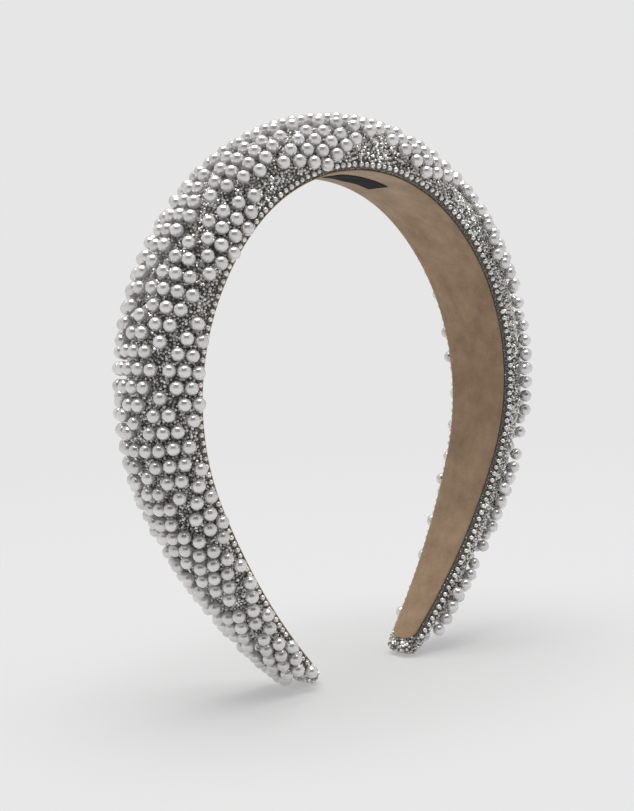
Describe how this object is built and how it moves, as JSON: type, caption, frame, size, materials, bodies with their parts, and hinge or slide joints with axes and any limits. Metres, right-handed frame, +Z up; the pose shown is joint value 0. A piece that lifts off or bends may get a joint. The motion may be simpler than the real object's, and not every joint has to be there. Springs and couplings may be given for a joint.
{
  "type": "headband",
  "caption": "Padded arched hair band with a crystal cover, diamonds of pearl beads and a suede lining, for holding hair back over the head.",
  "frame": {"origin": "middle of the bottom of the band's box, between the two tips, on the surface the tips stand on", "axes": "+Z up through the crown, +X towards the right arm, Y across the band's width"},
  "size_m": [0.1366, 0.0334, 0.1519],
  "materials": {
    "plastic_strip": "moulded, unpainted",
    "foam": "open-cell polyurethane foam",
    "silver_cloth": "plain-woven silver-grey polyester",
    "crystal": "small faceted crystals with silver backs, packed close",
    "tape": "double-sided adhesive tape",
    "suede": "tan brushed suede",
    "silver_bead": "polished silver-coloured beads",
    "pearl": "pearlescent white coating over plastic beads",
    "satin_label": "black woven satin, blank"
  },
  "bodies": {
    "crown": {"crown_core": "plastic_strip", "crown_foam": "foam", "crown_cover_cloth": "silver_cloth", "crown_crystal_layer": "crystal", "crown_lining_tape": "tape", "crown_lining": "suede", "crown_edge_beads": "silver_bead", "crown_pearls": "pearl", "crown_label": "satin_label"},
    "right_arm": {"right_arm_core": "plastic_strip", "right_arm_foam": "foam", "right_arm_cover_cloth": "silver_cloth", "right_arm_crystal_layer": "crystal", "right_arm_lining_tape": "tape", "right_arm_lining": "suede", "right_arm_edge_beads": "silver_bead", "right_arm_pearls": "pearl"},
    "left_arm": {"left_arm_core": "plastic_strip", "left_arm_foam": "foam", "left_arm_cover_cloth": "silver_cloth", "left_arm_crystal_layer": "crystal", "left_arm_lining_tape": "tape", "left_arm_lining": "suede", "left_arm_edge_beads": "silver_bead", "left_arm_pearls": "pearl"}
  },
  "joints": [
    {"name": "right_arm_flex", "type": "hinge", "parent": "crown", "child": "right_arm", "pos_m": [0.0442, 0, 0.1347], "axis": [0, -1, 0], "range_deg": [0, 15], "stiffness_Nm_per_rad": 1.5},
    {"name": "left_arm_flex", "type": "hinge", "parent": "crown", "child": "left_arm", "pos_m": [-0.0442, 0, 0.1347], "axis": [0, 1, 0], "range_deg": [0, 15], "stiffness_Nm_per_rad": 1.5}
  ]
}
